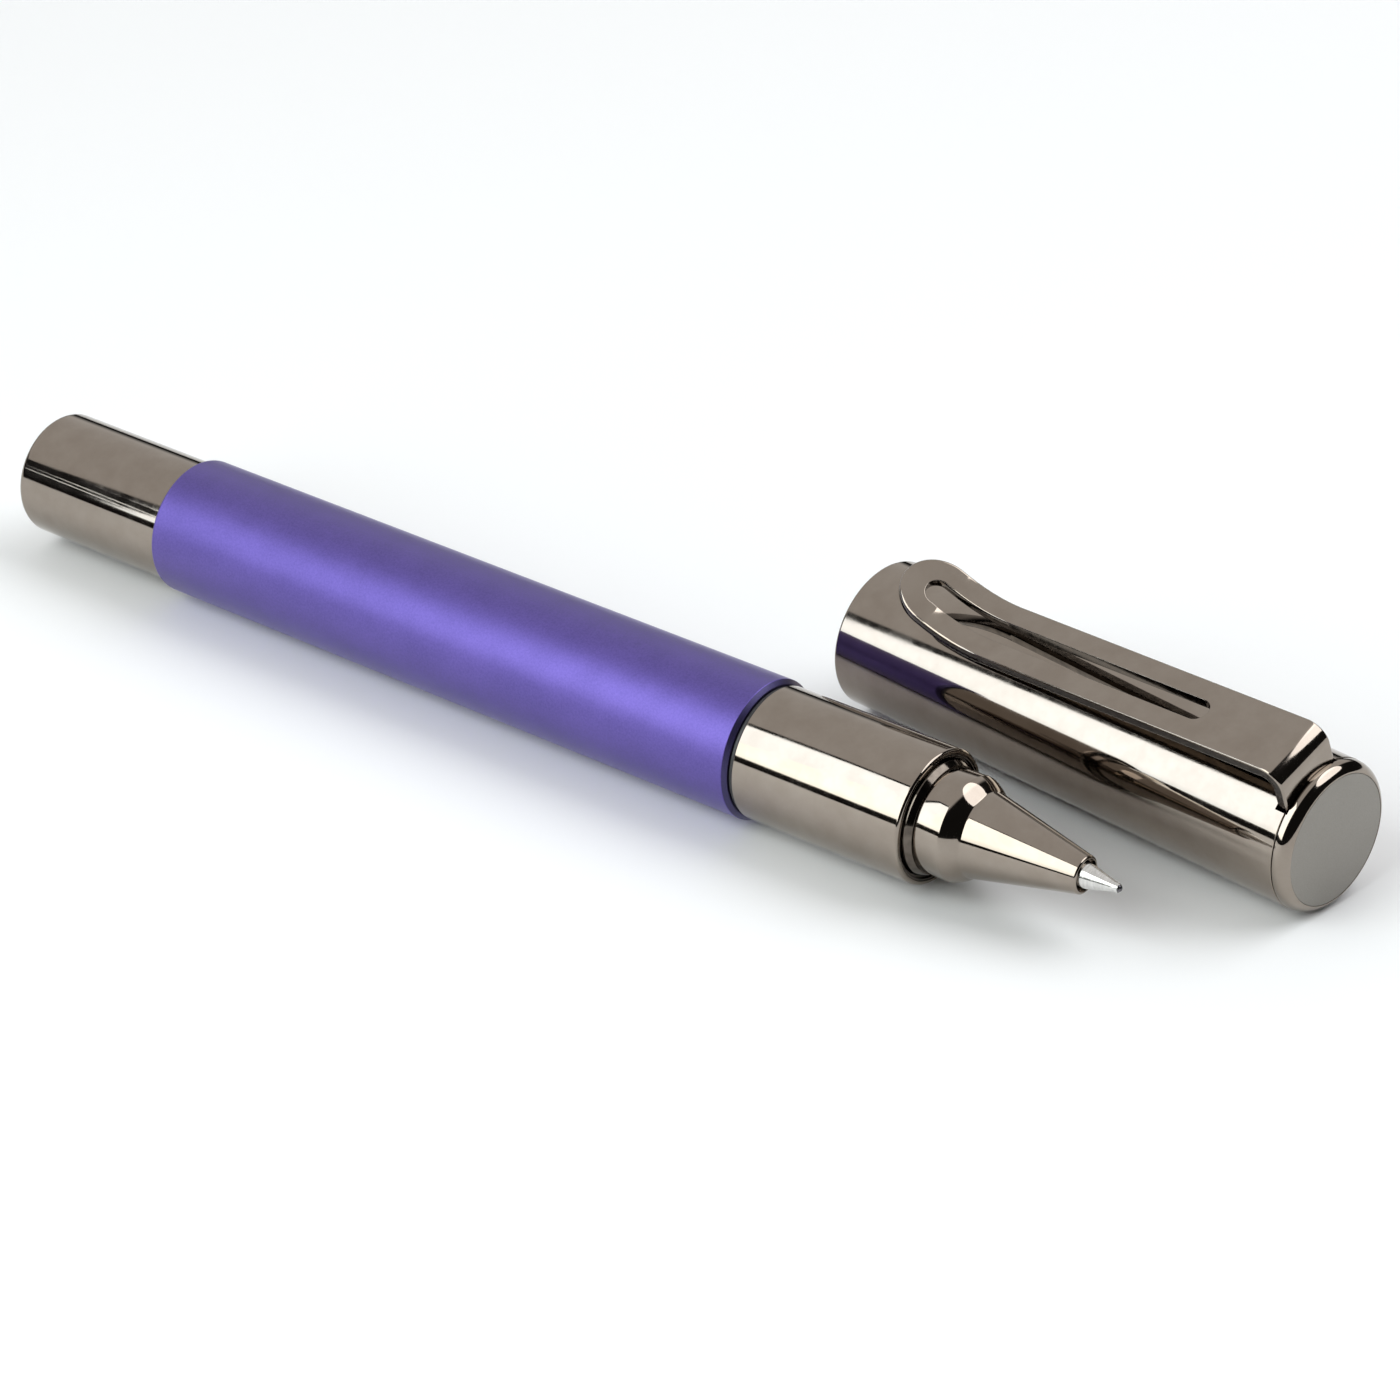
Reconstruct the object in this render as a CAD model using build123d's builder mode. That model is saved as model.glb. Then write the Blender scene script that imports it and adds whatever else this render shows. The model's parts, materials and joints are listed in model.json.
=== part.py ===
"""Capped rollerball technical pen, lying on its side with the cap set down beside it.

Millimetres, +Z up.  The origin is on the surface that the pen lies on, under the middle of
the pen and cap together.  +X runs along the pen towards its writing point.
"""

from build123d import *
from math import cos, radians, sin, tan
import os

# ---------------------------------------------------------------- driving dimensions
# Stations along the pen are measured from the barrel's front rim, forwards positive.
barrel_radius = 6.5
barrel_length = 69.1
barrel_bore_radius = 5.5
barrel_rim_bevel = 0.4
barrel_rear_round = 0.25

tail_radius = 5.95
tail_length = 18.5
tail_bore_radius = 4.9
tail_end_round = 0.7
tail_spigot_length = 6.5
tail_plug_thickness = 1.0
tail_plug_recess = 0.3
tail_magnet_thickness = 2.8

liner_bore_radius = 4.35
liner_setback = 0.2
thread_radius = 4.6
thread_length = 7.5
running_clearance = 0.05
fixed_clearance = 0.02

grip_radius = 6.15
grip_start = 0.47
grip_end = 18.25
grip_front_round = 0.3
grip_rear_round = 0.12
front_bore_radius = 5.75
magnet_start = 13.6
cover_ring_start = 17.4

spigot_radius = 4.2
spigot_start = 8.2
collar_radius = 4.8
collar_start = 18.95
collar_end = 21.45
shoulder_drop = 12.0
shoulder_fall = 45.0
shoulder_round = 3.0
hollow_round = 0.54
cone_slope = 11.8
cone_end = 33.45
cone_end_radius = 1.7
cone_lip_round = 0.36
tip_hole_radius = 1.3

refill_length = 111.0
refill_radius = 3.0
refill_bore_radius = 2.65
refill_tube_front = 20.0
refill_feed_front = 24.3
refill_feed_radius = 2.35
tip_shoulder_radius = 1.6
tip_shoulder_front = 29.2
tip_base_radius = 1.25
tip_cone_start = 33.1
tip_cone_end = 36.25
ball_radius = 0.35
pen_point = 37.0

spring_radius = 2.3
spring_wire_radius = 0.25
spring_length = 7.0
spring_turns = 7

cap_radius = 6.91
cap_bore_radius = 6.2
cap_seat_radius = 5.9
cap_length = 50.4
cap_mouth_round = 0.3
cap_heading = -6.26
cap_roll = 20.9
cap_mouth_forward = -4.42
cap_mouth_sideways = 22.61
cap_magnet_start = 18.4
cap_magnet_length = 3.0
cap_inner_radius = 5.2
liner_end = 43.5
bush_end = 49.4

clip_half_width = 3.28
clip_thickness = 1.0
clip_root_height = 10.42
clip_bend_station = 12.94
clip_bend_height = 7.33
clip_kick_angle = 27.5
clip_kick_radius = 12.0
clip_free_station = 6.1
clip_fold_radius = 1.4
clip_tab_front = 50.6
clip_tab_foot = 4.95
clip_slot_half_width = 1.15
clip_slot_start = 8.22
clip_slot_end = 40.2
notch_clearance = 0.22

finial_start = 50.45
finial_front = 51.85
finial_radius = 6.88
finial_face_radius = 6.03
finial_disc_depth = 0.6
finial_stem_radius = 2.0
finial_stem_start = 44.5

# ---------------------------------------------------------------- placing the two halves
heading = radians(cap_heading)
tail_end = -barrel_length - tail_length
cap_front_reach = cap_mouth_forward + finial_front * cos(heading) - finial_face_radius * sin(heading)
cap_side_reach = cap_mouth_sideways + cap_radius * cos(heading) + cap_mouth_round * sin(heading)
pen_x = -(tail_end + cap_front_reach) / 2
pen_y = (barrel_radius - cap_side_reach) / 2

# The pen's half-section plane: local X along the axis, local Y is the radius, straight up.
pen_origin = (pen_x, pen_y, barrel_radius)
pen_plane = Plane(origin=pen_origin, x_dir=(1, 0, 0), z_dir=(0, -1, 0))
pen_axis = Axis(pen_origin, (1, 0, 0))

# The cap lies on its tube, turned by its heading on the surface and rolled on its own axis.
cap_mouth = (pen_x + cap_mouth_forward, pen_y + cap_mouth_sideways, cap_radius)
cap_spot = Location(cap_mouth, (0, 0, cap_heading))
cap_plan = Plane(cap_spot * Location((0, 0, 0), (cap_roll, 0, 0)))
cap_plane = Plane(origin=cap_plan.origin, x_dir=cap_plan.x_dir, z_dir=-cap_plan.y_dir)
cap_axis = Axis(cap_plan.origin, cap_plan.x_dir)


def ring_face(start, end, inner, outer):
    """Add the half-section of a plain ring to the sketch that is open."""
    with Locations(((start + end) / 2, (inner + outer) / 2)):
        Rectangle(end - start, outer - inner)


# ================================================================ barrel
with BuildPart() as barrel:
    with BuildSketch(pen_plane) as barrel_section:
        ring_face(-barrel_length, 0, barrel_bore_radius, barrel_radius)
        rim_corner = barrel_section.vertices().sort_by(Axis.X)[-2:].sort_by(Axis.Z)[-1:]
        chamfer(rim_corner, barrel_rim_bevel)
        rear_corner = barrel_section.vertices().sort_by(Axis.X)[:2].sort_by(Axis.Z)[-1:]
        fillet(rear_corner, barrel_rear_round)
    revolve(axis=pen_axis)
barrel.part.label = "barrel"

# Brass tube with the front thread's bore, opened out at its mouth for the O-ring.
liner_outer = barrel_bore_radius - fixed_clearance
liner_rear = -barrel_length + tail_spigot_length
seal_bore_radius = thread_radius + 0.4
seal_bore_depth = 2.0
with BuildPart() as barrel_liner:
    with BuildSketch(pen_plane):
        ring_face(liner_rear, -liner_setback, liner_bore_radius, liner_outer)
        thread_bore = thread_radius + running_clearance
        thread_bore_rear = -thread_length - 1
        with Locations(((thread_bore_rear - liner_setback) / 2, thread_bore / 2)):
            Rectangle(-liner_setback - thread_bore_rear, thread_bore, mode=Mode.SUBTRACT)
        with Locations(((-seal_bore_depth - liner_setback) / 2, seal_bore_radius / 2)):
            Rectangle(seal_bore_depth - liner_setback, seal_bore_radius, mode=Mode.SUBTRACT)
    revolve(axis=pen_axis)
barrel_liner.part.label = "barrel_liner"

# ================================================================ tail
# The sleeve's spigot is pressed in the barrel's rear end.
with BuildPart() as tail_sleeve:
    with BuildSketch(pen_plane) as tail_section:
        ring_face(tail_end, -barrel_length - fixed_clearance, tail_bore_radius, tail_radius)
        end_corner = tail_section.vertices().sort_by(Axis.X)[:2].sort_by(Axis.Z)[-1:]
        fillet(end_corner, tail_end_round)
        spigot_front = liner_rear - fixed_clearance
        ring_face(-barrel_length - 1, spigot_front, tail_bore_radius, liner_outer)
    revolve(axis=pen_axis)
tail_sleeve.part.label = "tail_sleeve"

plug_rear = tail_end + tail_plug_recess
magnet_rear = plug_rear + tail_plug_thickness
seat_rear = magnet_rear + tail_magnet_thickness
with BuildPart() as tail_plug:
    with BuildSketch(pen_plane):
        ring_face(plug_rear, magnet_rear, 0, tail_bore_radius - fixed_clearance)
    revolve(axis=pen_axis)
tail_plug.part.label = "tail_plug"

with BuildPart() as tail_magnet:
    with BuildSketch(pen_plane):
        ring_face(magnet_rear + fixed_clearance, seat_rear - fixed_clearance, 0, tail_bore_radius - 0.1)
    revolve(axis=pen_axis)
tail_magnet.part.label = "tail_magnet"

# A cup whose rim keeps the spring in line with the refill.
refill_rear = pen_point - refill_length
spring_rear = refill_rear - spring_length - 2 * fixed_clearance
seat_front = spring_rear - fixed_clearance
seat_cup_inner = spring_radius + 2 * spring_wire_radius
with BuildPart() as spring_seat:
    with BuildSketch(pen_plane):
        ring_face(seat_rear, seat_front, 0, tail_bore_radius - fixed_clearance)
        ring_face(seat_front - 1, seat_front + 2.5, seat_cup_inner, tail_bore_radius - fixed_clearance)
    revolve(axis=pen_axis)
spring_seat.part.label = "spring_seat"

# The wire's middle line stops short of both ends by its own radius.
coil_height = spring_length - 2 * spring_wire_radius - 0.1
coil_start_x = pen_x + spring_rear + spring_wire_radius + 0.05
with BuildPart() as refill_spring:
    with BuildLine():
        coil = Helix(
            pitch=coil_height / spring_turns,
            height=coil_height,
            radius=spring_radius,
            center=(coil_start_x, pen_y, barrel_radius),
            direction=(1, 0, 0),
        )
    with BuildSketch(Plane(origin=coil @ 0, z_dir=coil % 0)):
        Circle(spring_wire_radius)
    sweep(is_frenet=True)
refill_spring.part.label = "refill_spring"

# ================================================================ front section
# A thin black ring that parts the barrel from the grip.
ring_gap = 0.06
with BuildPart() as spacer_ring:
    with BuildSketch(pen_plane):
        ring_face(ring_gap, grip_start - ring_gap, thread_radius + running_clearance, grip_radius - 0.2)
    revolve(axis=pen_axis)
spacer_ring.part.label = "spacer_ring"

bush_bore_radius = refill_radius + 0.6
bush_body_radius = 5.05
bush_front = magnet_start - fixed_clearance
seal_wire_radius = 0.4
seal_station = -1.1
seal_groove_radius = thread_radius - seal_wire_radius
with BuildPart() as section_bush:
    with BuildSketch(pen_plane):
        ring_face(-thread_length, grip_start, bush_bore_radius, thread_radius)
        ring_face(grip_start, bush_front, bush_bore_radius, bush_body_radius)
        with Locations(((spigot_start + bush_front) / 2, spigot_radius / 2)):
            Rectangle(bush_front - spigot_start, spigot_radius + 2 * fixed_clearance, mode=Mode.SUBTRACT)
        with Locations((seal_station, thread_radius)):
            Rectangle(2.4 * seal_wire_radius, 2 * seal_wire_radius, mode=Mode.SUBTRACT)
    revolve(axis=pen_axis)
section_bush.part.label = "section_bush"

with BuildPart() as bush_o_ring:
    with BuildSketch(pen_plane):
        with Locations((seal_station, seal_groove_radius + seal_wire_radius + fixed_clearance)):
            Circle(seal_wire_radius - fixed_clearance)
    revolve(axis=pen_axis)
bush_o_ring.part.label = "bush_o_ring"

with BuildPart() as grip_sleeve:
    with BuildSketch(pen_plane) as grip_section:
        ring_face(grip_start, grip_end, bush_body_radius + fixed_clearance, grip_radius)
        front_corner = grip_section.vertices().sort_by(Axis.X)[-2:].sort_by(Axis.Z)[-1:]
        fillet(front_corner, grip_front_round)
        back_corner = grip_section.vertices().sort_by(Axis.X)[:2].sort_by(Axis.Z)[-1:]
        fillet(back_corner, grip_rear_round)
        with Locations(((magnet_start + grip_end) / 2, front_bore_radius / 2)):
            Rectangle(grip_end - magnet_start, front_bore_radius, mode=Mode.SUBTRACT)
    revolve(axis=pen_axis)
grip_sleeve.part.label = "grip_sleeve"

front_ring_inner = spigot_radius + fixed_clearance
with BuildPart() as front_magnet:
    with BuildSketch(pen_plane):
        front_ring_outer = front_bore_radius - fixed_clearance
        ring_face(magnet_start, cover_ring_start - fixed_clearance, front_ring_inner, front_ring_outer)
    revolve(axis=pen_axis)
front_magnet.part.label = "front_magnet"

# Its coned face rises from the grip's rim to the foot of the collar.
cover_rim_station = grip_end + 0.15
with BuildPart() as magnet_cover_ring:
    with BuildSketch(pen_plane):
        Polygon(
            (cover_ring_start, front_ring_inner),
            (cover_ring_start, front_ring_outer),
            (cover_rim_station, front_ring_outer),
            (collar_start - fixed_clearance, collar_radius + 0.1),
            (collar_start - fixed_clearance, front_ring_inner),
            align=None,
        )
    revolve(axis=pen_axis)
magnet_cover_ring.part.label = "magnet_cover_ring"

# Collar with a crisp front edge, a full shoulder, a hollow blend and a long straight cone.
# The outline falls at the drop angle past the edge, at the fall angle where it turns hollow.
drop, fall, slope = radians(shoulder_drop), radians(shoulder_fall), radians(cone_slope)
shoulder_end = (
    collar_end + shoulder_round * (sin(fall) - sin(drop)),
    collar_radius - shoulder_round * (cos(drop) - cos(fall)),
)
hollow_end = (
    shoulder_end[0] + hollow_round * (sin(fall) - sin(slope)),
    shoulder_end[1] - hollow_round * (cos(slope) - cos(fall)),
)
rear_bore_radius = refill_radius + 0.35
feed_bore_radius = refill_feed_radius + 0.35
shoulder_bore_radius = tip_shoulder_radius + 0.32
with BuildPart() as nose_cone:
    with BuildSketch(pen_plane) as nose_section:
        with BuildLine():
            Polyline(
                (spigot_start, rear_bore_radius),
                (spigot_start, spigot_radius),
                (collar_start, spigot_radius),
                (collar_start, collar_radius),
                (collar_end, collar_radius),
            )
            TangentArc((collar_end, collar_radius), shoulder_end, tangent=(cos(drop), -sin(drop)))
            TangentArc(shoulder_end, hollow_end, tangent=(cos(fall), -sin(fall)))
            Polyline(
                hollow_end,
                (cone_end, cone_end_radius),
                (cone_end, tip_hole_radius),
                (tip_shoulder_front + 0.3, tip_hole_radius),
                (tip_shoulder_front + 0.3, shoulder_bore_radius),
                (refill_feed_front + 0.5, shoulder_bore_radius),
                (refill_feed_front + 0.5, feed_bore_radius),
                (refill_tube_front + 0.5, feed_bore_radius),
                (refill_tube_front + 0.5, rear_bore_radius),
                (spigot_start, rear_bore_radius),
            )
        make_face()
        lip_corner = nose_section.vertices().sort_by(Axis.X)[-2:].sort_by(Axis.Z)[-1:]
        fillet(lip_corner, cone_lip_round)
    revolve(axis=pen_axis)
nose_cone.part.label = "nose_cone"

# ================================================================ refill
end_plug_front = refill_rear + 1.2
with BuildPart() as refill_tube:
    with BuildSketch(pen_plane):
        ring_face(end_plug_front, refill_tube_front, refill_bore_radius, refill_radius)
    revolve(axis=pen_axis)
refill_tube.part.label = "refill_tube"

plug_spigot_front = end_plug_front + 2.5
with BuildPart() as refill_end_plug:
    with BuildSketch(pen_plane):
        ring_face(refill_rear, end_plug_front - fixed_clearance, 0, refill_radius)
        ring_face(refill_rear + 0.5, plug_spigot_front, 0, refill_bore_radius - fixed_clearance)
    revolve(axis=pen_axis)
refill_end_plug.part.label = "refill_end_plug"

feed_rear = refill_tube_front - 5
with BuildPart() as ink_core:
    with BuildSketch(pen_plane):
        ring_face(plug_spigot_front + 0.5, feed_rear - 0.5, 0, refill_bore_radius - 0.15)
    revolve(axis=pen_axis)
ink_core.part.label = "ink_core"

with BuildPart() as refill_feed:
    with BuildSketch(pen_plane):
        ring_face(feed_rear, refill_tube_front, 0, refill_bore_radius - fixed_clearance)
        ring_face(refill_tube_front - 1, refill_feed_front, 0, refill_feed_radius)
    revolve(axis=pen_axis)
refill_feed.part.label = "refill_feed"

# Stepped metal tip: shoulder, neck through the nose's hole, bare cone and the ball's housing.
ball_station = pen_point - ball_radius
housing_radius = 0.46
housing_lip = (ball_station + 0.1, 0.41)
with BuildPart() as refill_tip:
    with BuildSketch(pen_plane):
        Polygon(
            (refill_feed_front + fixed_clearance, 0),
            (refill_feed_front + fixed_clearance, tip_shoulder_radius),
            (tip_shoulder_front, tip_shoulder_radius),
            (tip_shoulder_front, tip_base_radius),
            (tip_cone_start, tip_base_radius),
            (tip_cone_end, housing_radius),
            (ball_station - 0.1, housing_radius),
            housing_lip,
            (housing_lip[0], 0),
            align=None,
        )
        with Locations((ball_station, 0)):
            Circle(ball_radius + running_clearance / 2, mode=Mode.SUBTRACT)
    revolve(axis=pen_axis)
refill_tip.part.label = "refill_tip"

with BuildPart() as writing_ball:
    with Locations(pen_plane.from_local_coords((ball_station, 0, 0))):
        Sphere(ball_radius)
writing_ball.part.label = "writing_ball"

# ================================================================ cap
# The bore narrows past its first stretch, and the magnet, liner and bush fill the narrow part.
# The notch at the tube's end lets the clip's tab through.
notch_start = clip_tab_front - clip_thickness - notch_clearance
notch_width = 2 * (clip_half_width + notch_clearance)
with BuildPart() as cap_tube:
    with BuildSketch(cap_plane) as cap_section:
        ring_face(0, cap_length, cap_seat_radius, cap_radius)
        with Locations((cap_magnet_start / 2, cap_bore_radius / 2)):
            Rectangle(cap_magnet_start, cap_bore_radius, mode=Mode.SUBTRACT)
        mouth_corner = cap_section.vertices().sort_by(cap_axis)[:2].sort_by(Axis.Z)[-1:]
        fillet(mouth_corner, cap_mouth_round)
    revolve(axis=cap_axis)
    with BuildSketch(cap_plan):
        with Locations((cap_length, 0)):
            Rectangle(2 * (cap_length - notch_start), notch_width)
    extrude(amount=cap_radius + 1, mode=Mode.SUBTRACT)
cap_tube.part.label = "cap_tube"

liner_radius = cap_seat_radius - fixed_clearance
cap_magnet_end = cap_magnet_start + cap_magnet_length
with BuildPart() as cap_magnet:
    with BuildSketch(cap_plane):
        ring_face(cap_magnet_start + fixed_clearance, cap_magnet_end, cap_inner_radius, liner_radius)
    revolve(axis=cap_axis)
cap_magnet.part.label = "cap_magnet"

liner_floor = liner_end - 2
with BuildPart() as cap_liner:
    with BuildSketch(cap_plane):
        ring_face(cap_magnet_end + fixed_clearance, liner_end, cap_inner_radius, liner_radius)
        ring_face(liner_floor, liner_end, 0, liner_radius)
    revolve(axis=cap_axis)
cap_liner.part.label = "cap_liner"

stem_bore = finial_stem_radius + fixed_clearance
with BuildPart() as cap_bush:
    with BuildSketch(cap_plane):
        ring_face(liner_end + 0.5, bush_end, stem_bore, liner_radius)
    revolve(axis=cap_axis)
cap_bush.part.label = "cap_bush"

# The clip's ring end, clamped between the bush and the finial.
with BuildPart() as clip_anchor_ring:
    with BuildSketch(cap_plane):
        anchor_outer = clip_tab_foot - 0.25
        ring_face(bush_end + fixed_clearance, finial_start - fixed_clearance, stem_bore, anchor_outer)
    revolve(axis=cap_axis)
clip_anchor_ring.part.label = "clip_anchor_ring"

# One strip: folded tab, straight run falling towards the mouth, bend and kicked-up round end.
# The path is the strip's middle line, half the stock below its top face.
half_stock = clip_thickness / 2
tab_middle = clip_tab_front - half_stock
kick_run = clip_bend_station - clip_free_station + clip_thickness
kick_height = clip_bend_height + kick_run * tan(radians(clip_kick_angle))
clip_above = 2 * clip_root_height
with BuildPart() as clip:
    with BuildSketch(cap_plane):
        with BuildLine():
            FilletPolyline(
                (tab_middle, clip_tab_foot),
                (tab_middle, clip_root_height - half_stock),
                (clip_bend_station, clip_bend_height),
                (clip_free_station - clip_thickness, kick_height),
                radius=[clip_fold_radius, clip_kick_radius],
            )
        trace(line_width=clip_thickness)
    extrude(amount=clip_half_width, both=True)
    with BuildSketch(cap_plan):
        with BuildLine():
            near_start = (clip_free_station + clip_half_width, -clip_half_width)
            far_start = (clip_free_station + clip_half_width, clip_half_width)
            ThreePointArc(near_start, (clip_free_station, 0), far_start)
            Polyline(
                far_start,
                (finial_front, clip_half_width),
                (finial_front, -clip_half_width),
                near_start,
            )
        make_face()
    extrude(amount=clip_above, mode=Mode.INTERSECT)
    with BuildSketch(cap_plan):
        with Locations(((clip_slot_start + clip_slot_end) / 2, 0)):
            SlotOverall(clip_slot_end - clip_slot_start, 2 * clip_slot_half_width)
    extrude(amount=clip_above, mode=Mode.SUBTRACT)
clip.part.label = "clip"

# Polished rim with the screw stem; its rear face is relieved where the clip's tab stands.
rim_mid = (finial_start + 1.0, finial_radius - 0.27)
disc_pocket = finial_front - finial_disc_depth
with BuildPart() as finial:
    with BuildSketch(cap_plane):
        with BuildLine():
            Polyline(
                (finial_stem_start, 0),
                (finial_stem_start, finial_stem_radius),
                (finial_start, finial_stem_radius),
                (finial_start, finial_radius - 0.08),
                (finial_start + 0.08, finial_radius),
            )
            ThreePointArc(
                (finial_start + 0.08, finial_radius),
                rim_mid,
                (finial_front, finial_face_radius + 0.06),
            )
            Polyline(
                (finial_front, finial_face_radius + 0.06),
                (finial_front, finial_face_radius),
                (disc_pocket, finial_face_radius),
                (disc_pocket, 0),
                (finial_stem_start, 0),
            )
        make_face()
    revolve(axis=cap_axis)
    with BuildSketch(cap_plan.offset(clip_tab_foot - notch_clearance)):
        with Locations((finial_start, 0)):
            Rectangle(2 * (clip_tab_front - finial_start + running_clearance), notch_width)
    extrude(amount=cap_radius, mode=Mode.SUBTRACT)
finial.part.label = "finial"

with BuildPart() as finial_disc:
    with BuildSketch(cap_plane):
        ring_face(disc_pocket + fixed_clearance, finial_front, 0, finial_face_radius - fixed_clearance)
    revolve(axis=cap_axis)
finial_disc.part.label = "finial_disc"

# ---------------------------------------------------------------- files
os.makedirs("parts", exist_ok=True)
export_step(barrel.part, "parts/barrel.step")
export_step(barrel_liner.part, "parts/barrel_liner.step")
export_step(tail_sleeve.part, "parts/tail_sleeve.step")
export_step(tail_plug.part, "parts/tail_plug.step")
export_step(tail_magnet.part, "parts/tail_magnet.step")
export_step(spring_seat.part, "parts/spring_seat.step")
export_step(refill_spring.part, "parts/refill_spring.step")
export_step(spacer_ring.part, "parts/spacer_ring.step")
export_step(section_bush.part, "parts/section_bush.step")
export_step(bush_o_ring.part, "parts/bush_o_ring.step")
export_step(grip_sleeve.part, "parts/grip_sleeve.step")
export_step(front_magnet.part, "parts/front_magnet.step")
export_step(magnet_cover_ring.part, "parts/magnet_cover_ring.step")
export_step(nose_cone.part, "parts/nose_cone.step")
export_step(refill_tube.part, "parts/refill_tube.step")
export_step(refill_end_plug.part, "parts/refill_end_plug.step")
export_step(ink_core.part, "parts/ink_core.step")
export_step(refill_feed.part, "parts/refill_feed.step")
export_step(refill_tip.part, "parts/refill_tip.step")
export_step(writing_ball.part, "parts/writing_ball.step")
export_step(cap_tube.part, "parts/cap_tube.step")
export_step(cap_magnet.part, "parts/cap_magnet.step")
export_step(cap_liner.part, "parts/cap_liner.step")
export_step(cap_bush.part, "parts/cap_bush.step")
export_step(clip_anchor_ring.part, "parts/clip_anchor_ring.step")
export_step(clip.part, "parts/clip.step")
export_step(finial.part, "parts/finial.step")
export_step(finial_disc.part, "parts/finial_disc.step")
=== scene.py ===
"""Looks of the capped pen: plated and anodised metalwork, the clip, the refill tip and the studio."""

import json
import math

import bmesh
import bpy
from mathutils import Matrix, Vector


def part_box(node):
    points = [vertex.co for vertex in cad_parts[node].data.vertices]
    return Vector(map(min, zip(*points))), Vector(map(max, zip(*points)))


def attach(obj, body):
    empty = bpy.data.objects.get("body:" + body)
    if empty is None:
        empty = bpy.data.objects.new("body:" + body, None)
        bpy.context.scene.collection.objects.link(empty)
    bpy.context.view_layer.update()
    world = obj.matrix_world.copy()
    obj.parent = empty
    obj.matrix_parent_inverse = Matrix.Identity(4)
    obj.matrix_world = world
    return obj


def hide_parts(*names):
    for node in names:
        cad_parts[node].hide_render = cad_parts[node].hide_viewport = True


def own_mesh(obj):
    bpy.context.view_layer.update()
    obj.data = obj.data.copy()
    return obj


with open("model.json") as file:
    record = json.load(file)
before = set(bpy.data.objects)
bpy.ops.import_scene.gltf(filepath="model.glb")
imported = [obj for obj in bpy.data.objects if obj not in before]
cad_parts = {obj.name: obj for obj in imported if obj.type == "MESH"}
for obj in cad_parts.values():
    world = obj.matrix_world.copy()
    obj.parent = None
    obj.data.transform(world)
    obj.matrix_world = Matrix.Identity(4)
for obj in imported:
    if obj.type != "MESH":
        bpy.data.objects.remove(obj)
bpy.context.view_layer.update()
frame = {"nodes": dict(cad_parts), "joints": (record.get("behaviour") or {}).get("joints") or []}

# ---------------------------------------------------------------- units and the two axes
# Pieces are shaped in millimetres along their own axis, then set in place in metres.
MM = 0.001
TURN_STEPS = 240
ROUND_STEPS = 6
SHARP_ANGLE = math.radians(34)

barrel_low, barrel_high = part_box("barrel")
pen_radius = (barrel_high.z - barrel_low.z) / 2
pen_front = Vector((barrel_high.x, (barrel_low.y + barrel_high.y) / 2, barrel_low.z + pen_radius))
PEN = Matrix.Translation(pen_front) @ Matrix.Scale(MM, 4)


def joint(name):
    """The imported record's entry for one joint."""
    return next(entry for entry in frame["joints"] if entry["name"] == name)


# The cap's own axes: along it, across the clip, and out through the clip's top face.
CAP_RADIUS = 6.91
CLIP_PIVOT_STATION = 50.1
cap_along = Vector(joint("cap_slide")["axis"]).normalized()
cap_across = Vector(joint("clip_flex")["axis"]).normalized()
cap_out = cap_along.cross(cap_across)
clip_pivot = Vector(joint("clip_flex")["pos_m"])
cap_mouth = clip_pivot - (cap_along * CLIP_PIVOT_STATION + cap_out * CAP_RADIUS) * MM
cap_turn = Matrix((cap_along, cap_across, cap_out)).transposed().to_4x4()
CAP = Matrix.Translation(cap_mouth) @ cap_turn @ Matrix.Scale(MM, 4)

# ---------------------------------------------------------------- driving sizes, in millimetres
PEN_RADIUS = pen_radius / MM
BARREL_LENGTH = (barrel_high.x - barrel_low.x) / MM
BARREL_BORE = 5.5
TAIL_RADIUS = 5.95
TAIL_BORE = 4.9
TAIL_END = (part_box("tail_sleeve")[0].x - pen_front.x) / MM
GRIP_RADIUS = 6.15
GRIP_START = 0.47
GRIP_END = 18.25
COLLAR_RADIUS = 4.8
COLLAR_START = 18.95
COLLAR_END = 21.45
POINT = 37.0
CAP_LENGTH = 50.4
CLIP_HALF_WIDTH = 3.28
CLIP_THICKNESS = 1.0
# The gap that takes the clip's tab, and a height clear of the cap for the cutters.
TAB_GAP_HALF = CLIP_HALF_WIDTH + 0.22
CUT_TOP = 9


# ---------------------------------------------------------------- shaping tools
def arc(centre, radius, start, end, steps):
    """Points of an arc in the half-section, angles in degrees from the forward direction."""
    points = []
    for step in range(steps + 1):
        angle = math.radians(start + (end - start) * step / steps)
        points.append((centre[0] + radius * math.cos(angle), centre[1] + radius * math.sin(angle)))
    return points


def direction_at(angle):
    """Unit vector at an angle in degrees from the forward direction."""
    return Vector((math.cos(math.radians(angle)), math.sin(math.radians(angle))))


def circle_through(first, middle, last):
    """Centre of the circle through three points of the half-section."""
    a, b, c = Vector(first), Vector(middle), Vector(last)
    span = 2 * (a.x * (b.y - c.y) + b.x * (c.y - a.y) + c.x * (a.y - b.y))
    x = (a.dot(a) * (b.y - c.y) + b.dot(b) * (c.y - a.y) + c.dot(c) * (a.y - b.y)) / span
    y = (a.dot(a) * (c.x - b.x) + b.dot(b) * (a.x - c.x) + c.dot(c) * (b.x - a.x)) / span
    return Vector((x, y))


def sweep(centre, first, last, steps):
    """Points along the shorter arc from first to last round the centre."""
    start = Vector(first) - centre
    turn = -start.angle_signed(Vector(last) - centre)
    begin = math.degrees(math.atan2(start.y, start.x))
    return arc(centre, start.length, begin, begin + math.degrees(turn), steps)


def three_point_arc(first, middle, last, steps):
    """Arc through three points."""
    return sweep(circle_through(first, middle, last), first, last, steps)


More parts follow.
